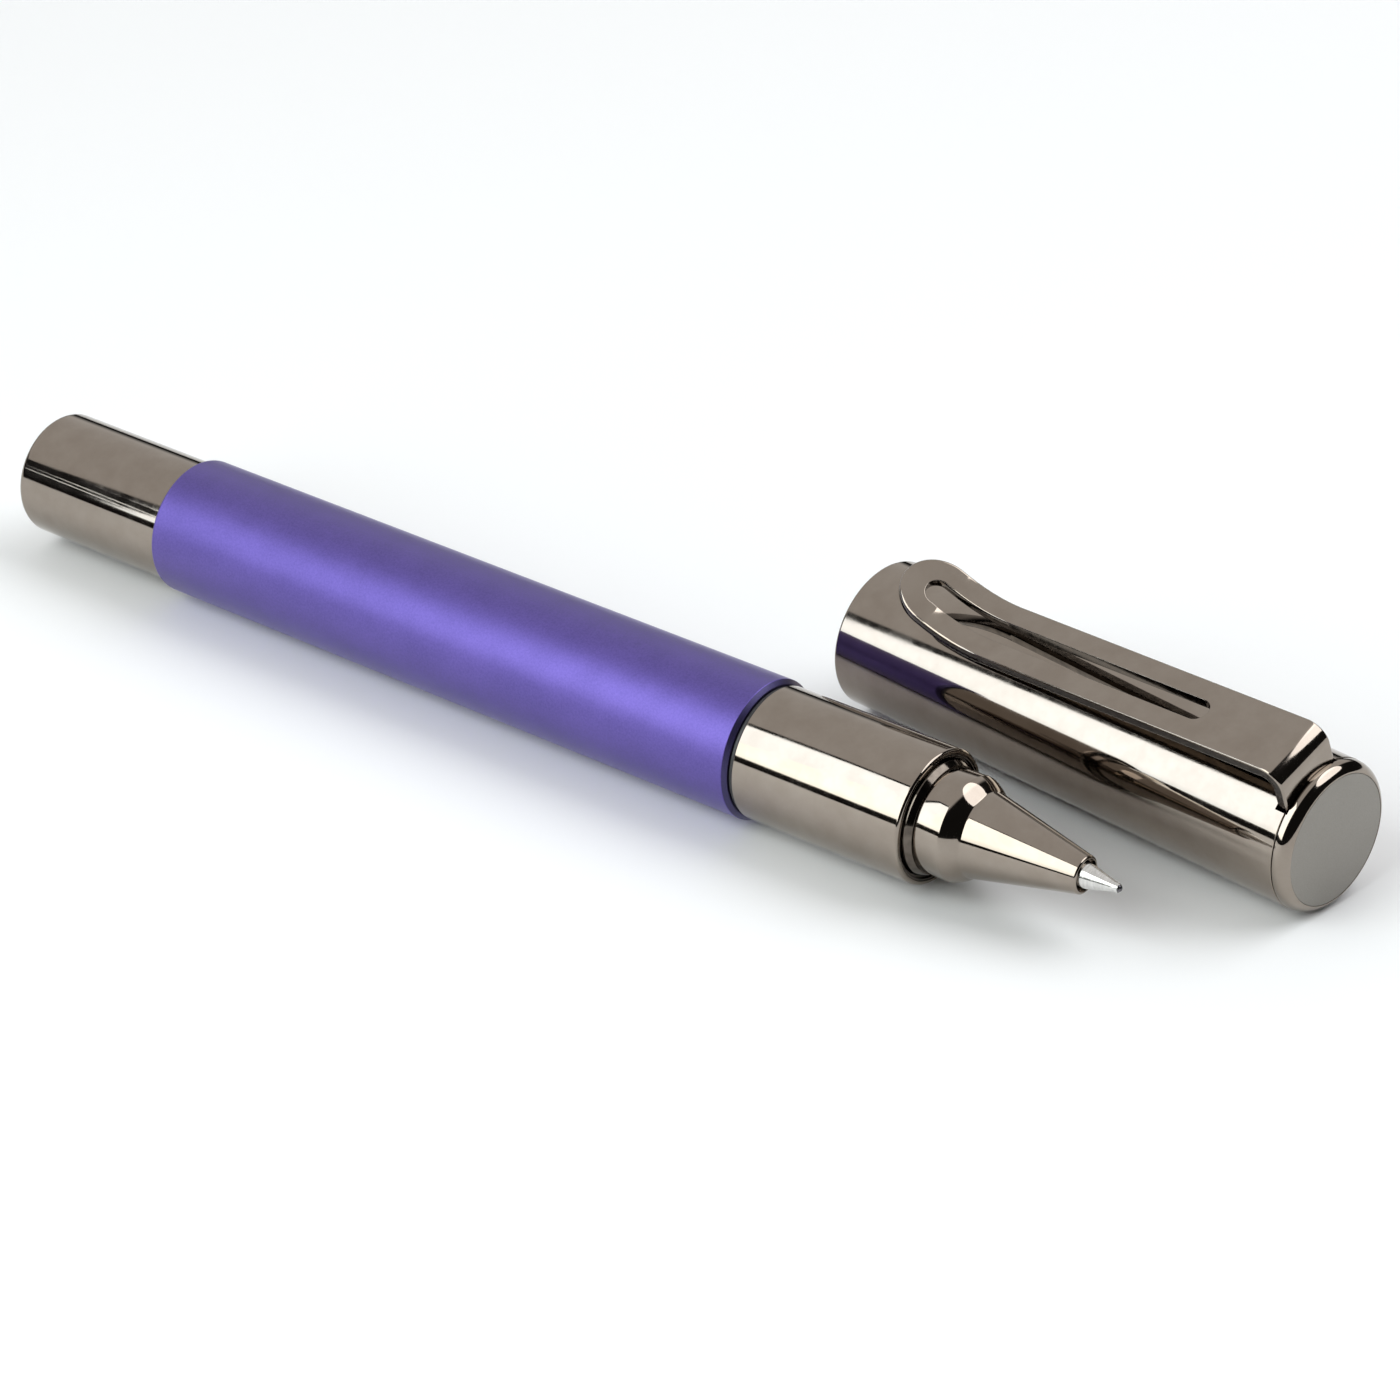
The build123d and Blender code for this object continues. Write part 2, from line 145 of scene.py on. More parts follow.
def finish_piece(bm, name, place, body, node, material):
    """Turn a bmesh in millimetres into a finished piece that stands for one CAD node."""
    bmesh.ops.transform(bm, matrix=place, verts=bm.verts)
    mesh = bpy.data.meshes.new(name)
    bm.to_mesh(mesh)
    bm.free()
    mesh.polygons.foreach_set("use_smooth", [True] * len(mesh.polygons))
    mesh.set_sharp_from_angle(angle=SHARP_ANGLE)
    mesh.materials.append(material)
    piece = bpy.data.objects.new(name, mesh)
    bpy.context.scene.collection.objects.link(piece)
    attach(piece, body)
    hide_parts(node)
    return piece


def even_normals(piece):
    """Keep broad faces flat in shading beside their narrow rounds."""
    modifier = piece.modifiers.new("even_normals", "WEIGHTED_NORMAL")
    modifier.keep_sharp = True
    return piece


def revolve(outline, closed=True, steps=TURN_STEPS):
    """Spin a half-section of (station, radius) points round the piece's own axis."""
    bm = bmesh.new()
    verts = [bm.verts.new((station, 0, radius)) for station, radius in outline]
    edges = [bm.edges.new(pair) for pair in zip(verts, verts[1:])]
    if closed:
        edges.append(bm.edges.new((verts[-1], verts[0])))
    bmesh.ops.spin(
        bm, geom=verts + edges, cent=(0, 0, 0), axis=(1, 0, 0),
        angle=math.tau, steps=steps, use_merge=True,
    )
    bmesh.ops.remove_doubles(bm, verts=bm.verts, dist=0.0005)
    bmesh.ops.recalc_face_normals(bm, faces=bm.faces)
    return bm


def round_ring(bm, corner, radius, steps=ROUND_STEPS):
    """Round the ring edge that runs through one (station, radius) corner."""
    def on_ring(vert):
        return (abs(vert.co.x - corner[0]) < 0.002
                and abs(math.hypot(vert.co.y, vert.co.z) - corner[1]) < 0.002)

    ring = [edge for edge in bm.edges if on_ring(edge.verts[0]) and on_ring(edge.verts[1])]
    turn = ring[0].calc_face_angle()
    bmesh.ops.bevel(
        bm, geom=ring, offset=radius * math.tan(turn / 2), offset_type="OFFSET",
        segments=steps, profile=0.5, affect="EDGES", material=-1, clamp_overlap=False,
    )


def turned(name, outline, rounds, place, body, material, closed=True):
    """A lathe-turned piece: its half-section, and the corners that are rounded off."""
    bm = revolve(outline, closed)
    for corner, radius in rounds:
        round_ring(bm, corner, radius)
    return even_normals(finish_piece(bm, name + "_turned", place, body, name, material))


def tube_outline(start, end, inner, outer):
    """Half-section of a plain tube."""
    return [(start, inner), (start, outer), (end, outer), (end, inner)]


def cut_box(piece, place, low, high):
    """Cut a box, given by two corners in the piece's own millimetres, out of a piece."""
    bm = bmesh.new()
    bmesh.ops.create_cube(bm, size=1)
    size = Vector(high) - Vector(low)
    middle = (Vector(high) + Vector(low)) / 2
    in_place = place @ Matrix.Translation(middle) @ Matrix.Diagonal((*size, 1))
    bmesh.ops.transform(bm, matrix=in_place, verts=bm.verts)
    cutter_mesh = bpy.data.meshes.new("cutter")
    bm.to_mesh(cutter_mesh)
    bm.free()
    cutter = bpy.data.objects.new("cutter", cutter_mesh)
    bpy.context.scene.collection.objects.link(cutter)
    modifier = piece.modifiers.new("cut", "BOOLEAN")
    modifier.operation = "DIFFERENCE"
    modifier.solver = "EXACT"
    modifier.object = cutter
    graph = bpy.context.evaluated_depsgraph_get()
    cut_mesh = bpy.data.meshes.new_from_object(piece.evaluated_get(graph))
    piece.modifiers.clear()
    piece.data = cut_mesh
    cut_mesh.set_sharp_from_angle(angle=SHARP_ANGLE)
    bpy.data.objects.remove(cutter)


# ---------------------------------------------------------------- material tools
def new_material(name):
    """An empty node material with its shader and the Object coordinates."""
    material = bpy.data.materials.new(name)
    material.use_nodes = True
    nodes = material.node_tree.nodes
    shader = nodes["Principled BSDF"]
    place = nodes.new("ShaderNodeTexCoord").outputs["Object"]
    return material, material.node_tree, shader, place


def noise(tree, place, size_mm, detail=3.0, roughness=0.5, stretch=None):
    """Noise whose features are about size_mm across, drawn out by stretch on each axis."""
    if stretch:
        mapping = tree.nodes.new("ShaderNodeMapping")
        mapping.inputs["Scale"].default_value = stretch
        tree.links.new(place, mapping.inputs["Vector"])
        place = mapping.outputs["Vector"]
    texture = tree.nodes.new("ShaderNodeTexNoise")
    texture.inputs["Scale"].default_value = 1 / (size_mm * MM)
    texture.inputs["Detail"].default_value = detail
    texture.inputs["Roughness"].default_value = roughness
    tree.links.new(place, texture.inputs["Vector"])
    return texture.outputs["Fac"]


def spread(tree, value, low, high, from_low=0.35, from_high=0.65):
    """Map the busy middle of a noise value on to the range from low to high."""
    node = tree.nodes.new("ShaderNodeMapRange")
    node.inputs["From Min"].default_value = from_low
    node.inputs["From Max"].default_value = from_high
    node.inputs["To Min"].default_value = low
    node.inputs["To Max"].default_value = high
    tree.links.new(value, node.inputs["Value"])
    return node.outputs["Result"]


def tint(tree, factor, dark, light):
    """Colour that runs from dark to light with the factor."""
    node = tree.nodes.new("ShaderNodeMix")
    node.data_type = "RGBA"
    node.inputs["A"].default_value = (*dark, 1)
    node.inputs["B"].default_value = (*light, 1)
    tree.links.new(factor, node.inputs["Factor"])
    return node.outputs["Result"]


def total(tree, first, second, weight=1.0):
    """first + second * weight."""
    node = tree.nodes.new("ShaderNodeMath")
    node.operation = "MULTIPLY_ADD"
    node.inputs[1].default_value = weight
    tree.links.new(second, node.inputs[0])
    tree.links.new(first, node.inputs[2])
    return node.outputs["Value"]


def bump(tree, shader, height, depth_mm):
    """Raise the surface by up to depth_mm with the height value."""
    node = tree.nodes.new("ShaderNodeBump")
    node.inputs["Strength"].default_value = 1.0
    node.inputs["Distance"].default_value = depth_mm * MM
    tree.links.new(height, node.inputs["Height"])
    tree.links.new(node.outputs["Normal"], shader.inputs["Normal"])


# ---------------------------------------------------------------- finishes
def purple_anodising(name, dark, light):
    """Bead-blasted and anodised aluminium: fine matt grain with a soft metallic glow."""
    material, tree, shader, place = new_material(name)
    grain = noise(tree, place, 0.20, detail=3.0, roughness=0.7)
    cloud = noise(tree, place, 3.2, detail=2.0)
    shade = total(tree, spread(tree, grain, 0.0, 0.75), spread(tree, cloud, 0.0, 0.25))
    colour = tint(tree, shade, dark, light)
    tree.links.new(colour, shader.inputs["Base Color"])
    tree.links.new(spread(tree, grain, 0.42, 0.52), shader.inputs["Roughness"])
    shader.inputs["Metallic"].default_value = 1.0
    shader.inputs["Coat Weight"].default_value = 1.0
    shader.inputs["Coat Roughness"].default_value = 0.45
    bump(tree, shader, grain, 0.013)
    return material


def gunmetal_plating(name, low_rough, high_rough, stretch=None):
    """Dark nickel plating over polished brass, with faint smears and hairline polishing marks."""
    material, tree, shader, place = new_material(name)
    smear = noise(tree, place, 2.6, detail=5.0, roughness=0.6)
    haze = noise(tree, place, 0.5, detail=4.0, roughness=0.6)
    hairline = noise(tree, place, 0.35, detail=2.0, stretch=stretch or (0.06, 1.0, 1.0))
    colour = tint(tree, spread(tree, smear, 0.0, 1.0), (0.286, 0.244, 0.206), (0.318, 0.276, 0.236))
    tree.links.new(colour, shader.inputs["Base Color"])
    film = total(tree, spread(tree, smear, low_rough, high_rough), spread(tree, haze, 0.0, 0.02))
    tree.links.new(film, shader.inputs["Roughness"])
    shader.inputs["Metallic"].default_value = 1.0
    bump(tree, shader, hairline, 0.0006)
    return material


def dark_nickel_and_painted_shade(name, dark, light):
    """Darker, a little dull plating: the cover ring's own black nickel, and painted shade on the clip's
    sides and underside.
    """
    material, tree, shader, place = new_material(name)
    haze = noise(tree, place, 0.8, detail=4.0)
    colour = tint(tree, spread(tree, haze, 0.0, 1.0), dark, light)
    tree.links.new(colour, shader.inputs["Base Color"])
    tree.links.new(spread(tree, haze, 0.06, 0.13), shader.inputs["Roughness"])
    shader.inputs["Metallic"].default_value = 1.0
    bump(tree, shader, haze, 0.001)
    return material


def satin_gunmetal():
    """The same plating over a finely blasted face."""
    material, tree, shader, place = new_material("gunmetal_satin")
    grain = noise(tree, place, 0.09, detail=4.0, roughness=0.6)
    cloud = noise(tree, place, 1.8, detail=3.0)
    colour = tint(tree, spread(tree, grain, 0.0, 1.0), (0.245, 0.230, 0.208), (0.280, 0.264, 0.240))
    tree.links.new(colour, shader.inputs["Base Color"])
    tree.links.new(spread(tree, cloud, 0.28, 0.33), shader.inputs["Roughness"])
    shader.inputs["Metallic"].default_value = 1.0
    return material


def bright_tip_metal():
    """Bare turned metal of the refill's point."""
    material, tree, shader, place = new_material("bright_tip_metal")
    lines = noise(tree, place, 0.12, detail=3.0, stretch=(1.0, 0.15, 0.15))
    colour = tint(tree, spread(tree, lines, 0.0, 1.0), (0.58, 0.57, 0.555), (0.72, 0.71, 0.69))
    tree.links.new(colour, shader.inputs["Base Color"])
    tree.links.new(spread(tree, lines, 0.10, 0.22), shader.inputs["Roughness"])
    shader.inputs["Metallic"].default_value = 1.0
    bump(tree, shader, lines, 0.0015)
    return material


def ball_carbide():
    """Ground carbide ball with a film of ink in the housing."""
    material, tree, shader, place = new_material("ball_carbide")
    film = noise(tree, place, 0.2, detail=3.0)
    colour = tint(tree, spread(tree, film, 0.0, 1.0), (0.05, 0.05, 0.06), (0.16, 0.15, 0.16))
    tree.links.new(colour, shader.inputs["Base Color"])
    tree.links.new(spread(tree, film, 0.12, 0.30), shader.inputs["Roughness"])
    shader.inputs["Metallic"].default_value = 0.9
    return material


def turned_brass():
    """Lathe-turned brass with fine rings."""
    material, tree, shader, place = new_material("turned_brass")
    rings = noise(tree, place, 0.10, detail=3.0, stretch=(1.0, 0.05, 0.05))
    tarnish = noise(tree, place, 2.0, detail=4.0)
    shade = total(tree, spread(tree, rings, 0.0, 0.6), spread(tree, tarnish, 0.0, 0.4))
    colour = tint(tree, shade, (0.52, 0.36, 0.13), (0.83, 0.64, 0.30))
    tree.links.new(colour, shader.inputs["Base Color"])
    tree.links.new(spread(tree, rings, 0.18, 0.32), shader.inputs["Roughness"])
    shader.inputs["Metallic"].default_value = 1.0
    bump(tree, shader, rings, 0.003)
    return material


def moulded_black(name, roughness, grain_mm, depth_mm):
    """Black moulded plastic or rubber with a fine grain."""
    material, tree, shader, place = new_material(name)
    grain = noise(tree, place, grain_mm, detail=4.0)
    colour = tint(tree, spread(tree, grain, 0.0, 1.0), (0.012, 0.012, 0.013), (0.030, 0.030, 0.033))
    tree.links.new(colour, shader.inputs["Base Color"])
    tree.links.new(spread(tree, grain, roughness - 0.06, roughness + 0.06), shader.inputs["Roughness"])
    bump(tree, shader, grain, depth_mm)
    return material


def clear_white_plastic():
    """Milky polypropylene of the refill's tube, faintly cloudy."""
    material, tree, shader, place = new_material("milky_plastic")
    cloud = noise(tree, place, 1.5, detail=4.0)
    colour = tint(tree, spread(tree, cloud, 0.0, 1.0), (0.70, 0.70, 0.67), (0.84, 0.84, 0.82))
    tree.links.new(colour, shader.inputs["Base Color"])
    tree.links.new(spread(tree, cloud, 0.28, 0.38), shader.inputs["Roughness"])
    shader.inputs["Subsurface Weight"].default_value = 0.2
    shader.inputs["Subsurface Radius"].default_value = (0.001, 0.001, 0.001)
    return material


def nickel_magnet():
    """Sintered magnet under dull nickel plating."""
    material, tree, shader, place = new_material("nickel_magnet")
    grain = noise(tree, place, 0.25, detail=5.0, roughness=0.6)
    colour = tint(tree, spread(tree, grain, 0.0, 1.0), (0.30, 0.30, 0.31), (0.48, 0.47, 0.46))
    tree.links.new(colour, shader.inputs["Base Color"])
    tree.links.new(spread(tree, grain, 0.28, 0.42), shader.inputs["Roughness"])
    shader.inputs["Metallic"].default_value = 1.0
    bump(tree, shader, grain, 0.004)
    return material


def spring_steel():
    """Drawn spring wire."""
    material, tree, shader, place = new_material("spring_steel")
    draw = noise(tree, place, 0.2, detail=4.0)
    colour = tint(tree, spread(tree, draw, 0.0, 1.0), (0.55, 0.55, 0.56), (0.72, 0.72, 0.72))
    tree.links.new(colour, shader.inputs["Base Color"])
    tree.links.new(spread(tree, draw, 0.18, 0.32), shader.inputs["Roughness"])
    shader.inputs["Metallic"].default_value = 1.0
    return material


def inked_fibre():
    """Bundle of fibres soaked with dark ink."""
    material, tree, shader, place = new_material("inked_fibre")
    fibres = noise(tree, place, 0.15, detail=4.0, stretch=(0.05, 1.0, 1.0))
    colour = tint(tree, spread(tree, fibres, 0.0, 1.0), (0.008, 0.008, 0.025), (0.030, 0.030, 0.075))
    tree.links.new(colour, shader.inputs["Base Color"])
    tree.links.new(spread(tree, fibres, 0.55, 0.80), shader.inputs["Roughness"])
    bump(tree, shader, fibres, 0.05)
    return material


PURPLE = purple_anodising("purple_anodised_aluminium", (0.068, 0.040, 0.262), (0.112, 0.070, 0.372))
# The bevel's copy of the anodising is painted darker, as shade where the front bevel faces away from
# the light.
PURPLE_RIM_PAINTED_SHADE = purple_anodising("purple_anodised_rim_painted_shade", (0.022, 0.014, 0.090), (0.034, 0.022, 0.130))
GUNMETAL = gunmetal_plating("gunmetal_mirror", 0.035, 0.075)
GUNMETAL_CLIP = gunmetal_plating("gunmetal_clip", 0.05, 0.10, stretch=(0.05, 0.6, 0.6))
BLACK_NICKEL = dark_nickel_and_painted_shade("black_nickel", (0.095, 0.080, 0.068), (0.150, 0.128, 0.108))
# The clip's sides and underside are painted darker than its plating, as shade.
CLIP_SIDES_PAINTED_SHADE = dark_nickel_and_painted_shade("clip_sides_painted_shade", (0.060, 0.052, 0.046), (0.105, 0.090, 0.078))
SATIN = satin_gunmetal()
TIP_METAL = bright_tip_metal()
BALL = ball_carbide()
BRASS = turned_brass()
BLACK_PLASTIC = moulded_black("black_plastic", 0.45, 0.2, 0.003)
BLACK_RUBBER = moulded_black("black_rubber", 0.60, 0.12, 0.006)
MILKY_PLASTIC = clear_white_plastic()
MAGNET = nickel_magnet()
STEEL = spring_steel()
INK_FIBRE = inked_fibre()


# ---------------------------------------------------------------- barrel and tail
def make_barrel():
    """Purple tube with a bevelled front rim, whose bevel is painted darker as shade."""
    bevel = 0.4
    outline = [
        (-BARREL_LENGTH, BARREL_BORE), (-BARREL_LENGTH, PEN_RADIUS),
        (-bevel, PEN_RADIUS), (0, PEN_RADIUS - bevel), (0, BARREL_BORE),
    ]
    rounds = [
        ((-BARREL_LENGTH, PEN_RADIUS), 0.25), ((-bevel, PEN_RADIUS), 0.12),
        ((0, PEN_RADIUS - bevel), 0.08),
    ]
    barrel = turned("barrel", outline, rounds, PEN, "pen_barrel", PURPLE)
    barrel.data.materials.append(PURPLE_RIM_PAINTED_SHADE)
    to_own_axis = PEN.inverted()
    shaded_rim_start = 0.1 - bevel
    # Faces forward of this station take the darker copy: painted shade on the bevel.
    for polygon in barrel.data.polygons:
        polygon.material_index = int((to_own_axis @ polygon.center).x > shaded_rim_start)


def make_tail():
    """Mirror sleeve with a soft end round, and the plug set just inside it."""
    front = -BARREL_LENGTH - 0.02
    spigot_front = -BARREL_LENGTH + 6.48
    spigot_radius = BARREL_BORE - 0.02
    outline = [
        (TAIL_END, TAIL_BORE), (TAIL_END, TAIL_RADIUS), (front, TAIL_RADIUS),
        (front, spigot_radius), (spigot_front, spigot_radius), (spigot_front, TAIL_BORE),
    ]
    rounds = [((TAIL_END, TAIL_RADIUS), 0.7), ((TAIL_END, TAIL_BORE), 0.08)]
    turned("tail_sleeve", outline, rounds, PEN, "pen_barrel", GUNMETAL)

    plug_rear, plug_front = TAIL_END + 0.3, TAIL_END + 1.3
    plug_radius = TAIL_BORE - 0.02
    outline = [(plug_rear, 0), (plug_rear, plug_radius), (plug_front, plug_radius), (plug_front, 0)]
    turned("tail_plug", outline, [((plug_rear, plug_radius), 0.12)], PEN,
           "pen_barrel", SATIN, closed=False)


# ---------------------------------------------------------------- refill spring
def make_refill_spring():
    """Coil behind the refill, which gives as the refill is pushed back."""
    wire, wire_points, turns, steps_per_turn = 0.25, 12, 7, 48
    low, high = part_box("refill_spring")
    length = (high.x - low.x) / MM
    coil = (high.z - low.z) / 2 / MM - wire
    steps = turns * steps_per_turn
    start = ((low.x - pen_front.x) / MM + wire, coil)
    bm = bmesh.new()
    section = arc(start, wire, 0, 360, wire_points)[:-1]
    verts = [bm.verts.new((station, 0, radius)) for station, radius in section]
    bmesh.ops.spin(
        bm, geom=[bm.faces.new(verts)], cent=(0, 0, 0), axis=(1, 0, 0),
        dvec=((length - 2 * wire) / steps, 0, 0), angle=math.tau * turns, steps=steps,
    )
    bmesh.ops.recalc_face_normals(bm, faces=bm.faces)
    spring = finish_piece(bm, "refill_spring_coil", PEN, "pen_barrel", "refill_spring", STEEL)
    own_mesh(spring)


# ---------------------------------------------------------------- front section
def make_spacer():
    """Thin black ring between the barrel and the grip."""
    start, end, inner, outer = 0.06, GRIP_START - 0.06, 4.65, GRIP_RADIUS - 0.2
    outline = tube_outline(start, end, inner, outer)
    turned("spacer_ring", outline, [((start, outer), 0.08), ((end, outer), 0.08)], PEN,
           "advance_ring", BLACK_PLASTIC)


def make_grip():
    """Mirror sleeve of the grip, open at the front for the magnet and its cover."""
    back_bore, front_bore, step = 5.07, 5.75, 13.6
    outline = [
        (GRIP_START, back_bore), (GRIP_START, GRIP_RADIUS), (GRIP_END, GRIP_RADIUS),
        (GRIP_END, front_bore), (step, front_bore), (step, back_bore),
    ]
    rounds = [((GRIP_START, GRIP_RADIUS), 0.12), ((GRIP_END, GRIP_RADIUS), 0.3)]
    turned("grip_sleeve", outline, rounds, PEN, "section", GUNMETAL)


def make_cover_ring():
    """Ring over the magnet, coned up to the foot of the collar."""
    inner, outer, rear = 4.22, 5.73, 17.4
    rim = (GRIP_END - 0.02, outer)
    groove_lip, groove_floor = (rim[0], 5.52), GRIP_END - 0.3
    cone_foot = (rim[0] + 0.16, 5.22)
    cone_top = (COLLAR_START - 0.02, COLLAR_RADIUS + 0.1)
    outline = [
        (rear, inner), (rear, outer), rim, groove_lip, (groove_floor, groove_lip[1] - 0.06),
        (groove_floor, cone_foot[1] + 0.1), cone_foot, cone_top, (cone_top[0], inner),
    ]
    rounds = [(rim, 0.08), (groove_lip, 0.06), (cone_foot, 0.05), (cone_top, 0.06)]
    turned("magnet_cover_ring", outline, rounds, PEN, "section", BLACK_NICKEL)


def make_nose():
    """Collar, full shoulder, hollow blend and long straight cone with a rolled lip."""
    spigot, spigot_start = 4.2, 8.2
    # The shoulder leaves the collar already falling by drop degrees and ends falling by fall degrees.
    # The hollow then turns it on to the cone, which falls by slope degrees.
    drop, fall, slope = 20.0, 40.0, 11.8
    full, tight = 4.69, 0.6
    centre = Vector((COLLAR_END, COLLAR_RADIUS)) - full * direction_at(90 - drop)
    shoulder = arc(centre, full, 90 - drop, 90 - fall, 16)
    hollow_centre = Vector(shoulder[-1]) + tight * direction_at(90 - fall)
    hollow = arc(hollow_centre, tight, 270 - fall, 270 - slope, 10)
    lip = (33.45, 1.7)
    mouth, mouth_floor = 1.48, lip[0] - 0.5
    # The bore steps down from the refill's tube to its feed, its shoulder and its neck.
    tube_bore, feed_bore, shoulder_bore, neck_bore = 3.35, 2.7, 1.92, 1.3
    tube_end, feed_end, shoulder_end = 20.5, 24.8, 29.5
    outline = [(spigot_start, tube_bore), (spigot_start, spigot), (COLLAR_START, spigot),
               (COLLAR_START, COLLAR_RADIUS)]
    outline += shoulder + hollow[1:]
    outline += [
        lip, (lip[0], mouth), (mouth_floor, mouth - 0.04), (mouth_floor, neck_bore),
        (shoulder_end, neck_bore), (shoulder_end, shoulder_bore), (feed_end, shoulder_bore),
        (feed_end, feed_bore), (tube_end, feed_bore), (tube_end, tube_bore),
    ]
    rounds = [
        ((COLLAR_START, COLLAR_RADIUS), 0.1), ((COLLAR_END, COLLAR_RADIUS), 0.06),
        (lip, 0.22), ((lip[0], mouth), 0.03),
    ]
    turned("nose_cone", outline, rounds, PEN, "section", GUNMETAL)


# ---------------------------------------------------------------- refill point
def make_tip():
    """Neck, bare cone and ball housing of the refill."""
    rear, shoulder_front, neck_front = 24.32, 29.2, 33.1
    shoulder, neck, housing = 1.6, 1.25, 0.46
    cone_front, housing_front, lip_station, lip = 36.25, 36.55, 36.75, 0.41
    ball_radius, play = 0.35, 0.025
    ball_station, socket = POINT - ball_radius, ball_radius + play
    mouth = math.sqrt(socket ** 2 - (lip_station - ball_station) ** 2)
    cup = sweep(Vector((ball_station, 0)), (lip_station, mouth), (ball_station - socket, 0), 12)
    outline = [
        (rear, 0), (rear, shoulder), (shoulder_front, shoulder), (shoulder_front, neck),
        (neck_front, neck), (cone_front, housing), (housing_front, housing), (lip_station, lip),
    ] + cup
    rounds = [
        ((neck_front, neck), 0.4), ((cone_front, housing), 0.25), ((housing_front, housing), 0.12),
    ]
    turned("refill_tip", outline, rounds, PEN, "refill", TIP_METAL, closed=False)

    bm = revolve(arc((ball_station, 0), ball_radius, 180, 0, 24), closed=False, steps=64)
    finish_piece(bm, "writing_ball_round", PEN, "ball", "writing_ball", BALL)


# ---------------------------------------------------------------- thread bush
def make_bush():
    """Brass bush with its three-start thread and the groove for the seal."""
    rear, end, spigot_start = -7.5, 13.58, 8.2
    bore, spigot_bore, core, crest, body = 3.6, 4.24, 4.25, 4.6, 5.05
    groove_rear, groove_front, groove = -1.58, -0.62, 4.2
    thread_start, thread_length = -6.95, 4.75
    land = groove_rear - 0.35
    outline = [
        (rear, bore), (rear, core), (-6.9, core), (land, core), (land, crest), (groove_rear, crest),
        (groove_rear, groove), (groove_front, groove), (groove_front, crest), (GRIP_START, crest),
        (GRIP_START, body), (end, body), (end, spigot_bore), (spigot_start, spigot_bore),
        (spigot_start, bore),
    ]
    bm = revolve(outline)
    round_ring(bm, (rear, core), 0.2)
    lead, starts = 2.1, 3
    root_half, crest_half, root = 0.31, 0.06, core - 0.05
    turns = thread_length / lead
    steps = int(turns * TURN_STEPS / 2)
    section = [
        (thread_start - root_half, root), (thread_start - crest_half, crest),
        (thread_start + crest_half, crest), (thread_start + root_half, root),
    ]
    for start in range(starts):
        turn = Matrix.Rotation(math.tau * start / starts, 4, "X")
        verts = [bm.verts.new(turn @ Vector((station, 0, radius))) for station, radius in section]
        bmesh.ops.spin(
            bm, geom=[bm.faces.new(verts)], cent=(0, 0, 0), axis=(1, 0, 0),
            dvec=(thread_length / steps, 0, 0), angle=math.tau * turns, steps=steps,
        )
    bmesh.ops.recalc_face_normals(bm, faces=bm.faces)
    bush = finish_piece(bm, "section_bush_threaded", PEN, "section", "section_bush", BRASS)
    even_normals(bush)


def make_o_ring():
    """Rubber seal in the bush's groove."""
    station, mean_radius, cord = -1.1, 4.62, 0.38
    section = arc((station, mean_radius), cord, 0, 360, 20)[:-1]
    bm = revolve(section, steps=160)
    finish_piece(bm, "bush_o_ring_round", PEN, "section", "bush_o_ring", BLACK_RUBBER)


# ---------------------------------------------------------------- cap
def make_cap_tube():
    """Mirror tube, its mouth rounded, notched at its end for the clip's tab."""
    bore, seat, step = 6.2, 5.9, 18.4
    bm = revolve([
        (0, bore), (0, CAP_RADIUS), (CAP_LENGTH, CAP_RADIUS), (CAP_LENGTH, seat),
        (step, seat), (step, bore),
    ])
    for corner, radius in [((0, CAP_RADIUS), 0.3), ((0, bore), 0.12), ((CAP_LENGTH, CAP_RADIUS), 0.07)]:
        round_ring(bm, corner, radius)
    piece = finish_piece(bm, "cap_tube_turned", CAP, "cap", "cap_tube", GUNMETAL)
    notch_start, notch_foot = CAP_LENGTH - 1.02, 2
    cut_box(piece, CAP, (notch_start, -TAB_GAP_HALF, notch_foot),
            (CAP_LENGTH + 1, TAB_GAP_HALF, CUT_TOP))
    even_normals(piece)


def make_finial():
    """Rounded rim with its screw stem, relieved where the clip's tab stands, and the satin disc."""
    start, front, radius, face = 50.45, 51.85, 6.88, 6.03
    stem_start, stem, pocket = 44.5, 2.0, 51.25
    edge_round = 0.08
    side = three_point_arc(
        (start + edge_round, radius), (start + 1.0, radius - 0.27), (front, face + 0.06), 16)
    outline = [(stem_start, 0), (stem_start, stem), (start, stem), (start, radius - edge_round)] + side
    outline += [(front, face), (pocket, face), (pocket, 0)]
    bm = revolve(outline, closed=False)
    round_ring(bm, (stem_start, stem), 0.2)
    piece = finish_piece(bm, "finial_rim", CAP, "cap", "finial", GUNMETAL)
    relief_foot, relief_front = 4.73, 50.65
    cut_box(piece, CAP, (start - 1, -TAB_GAP_HALF, relief_foot), (relief_front, TAB_GAP_HALF, CUT_TOP))
    even_normals(piece)

    edge, back = face - 0.02, pocket + 0.02
    outline = [(back, 0), (back, edge), (front, edge), (front, 0)]
    turned("finial_disc", outline, [((front, edge), 0.06)], CAP,
           "cap", SATIN, closed=False)


# ---------------------------------------------------------------- clip
CLIP_FREE = 6.1
CLIP_BEND = (12.94, 7.33)
CLIP_KICK = math.radians(27.5)
CLIP_KICK_RADIUS = 12.0
CLIP_FOLD_RADIUS = 1.4
CLIP_TAB_MIDDLE = CLIP_PIVOT_STATION
CLIP_TAB_FOOT = 4.95
CLIP_ROOT_MIDDLE = 9.92
CLIP_SLOT_HALF = 1.15
CLIP_SLOT = (8.22, 40.2)


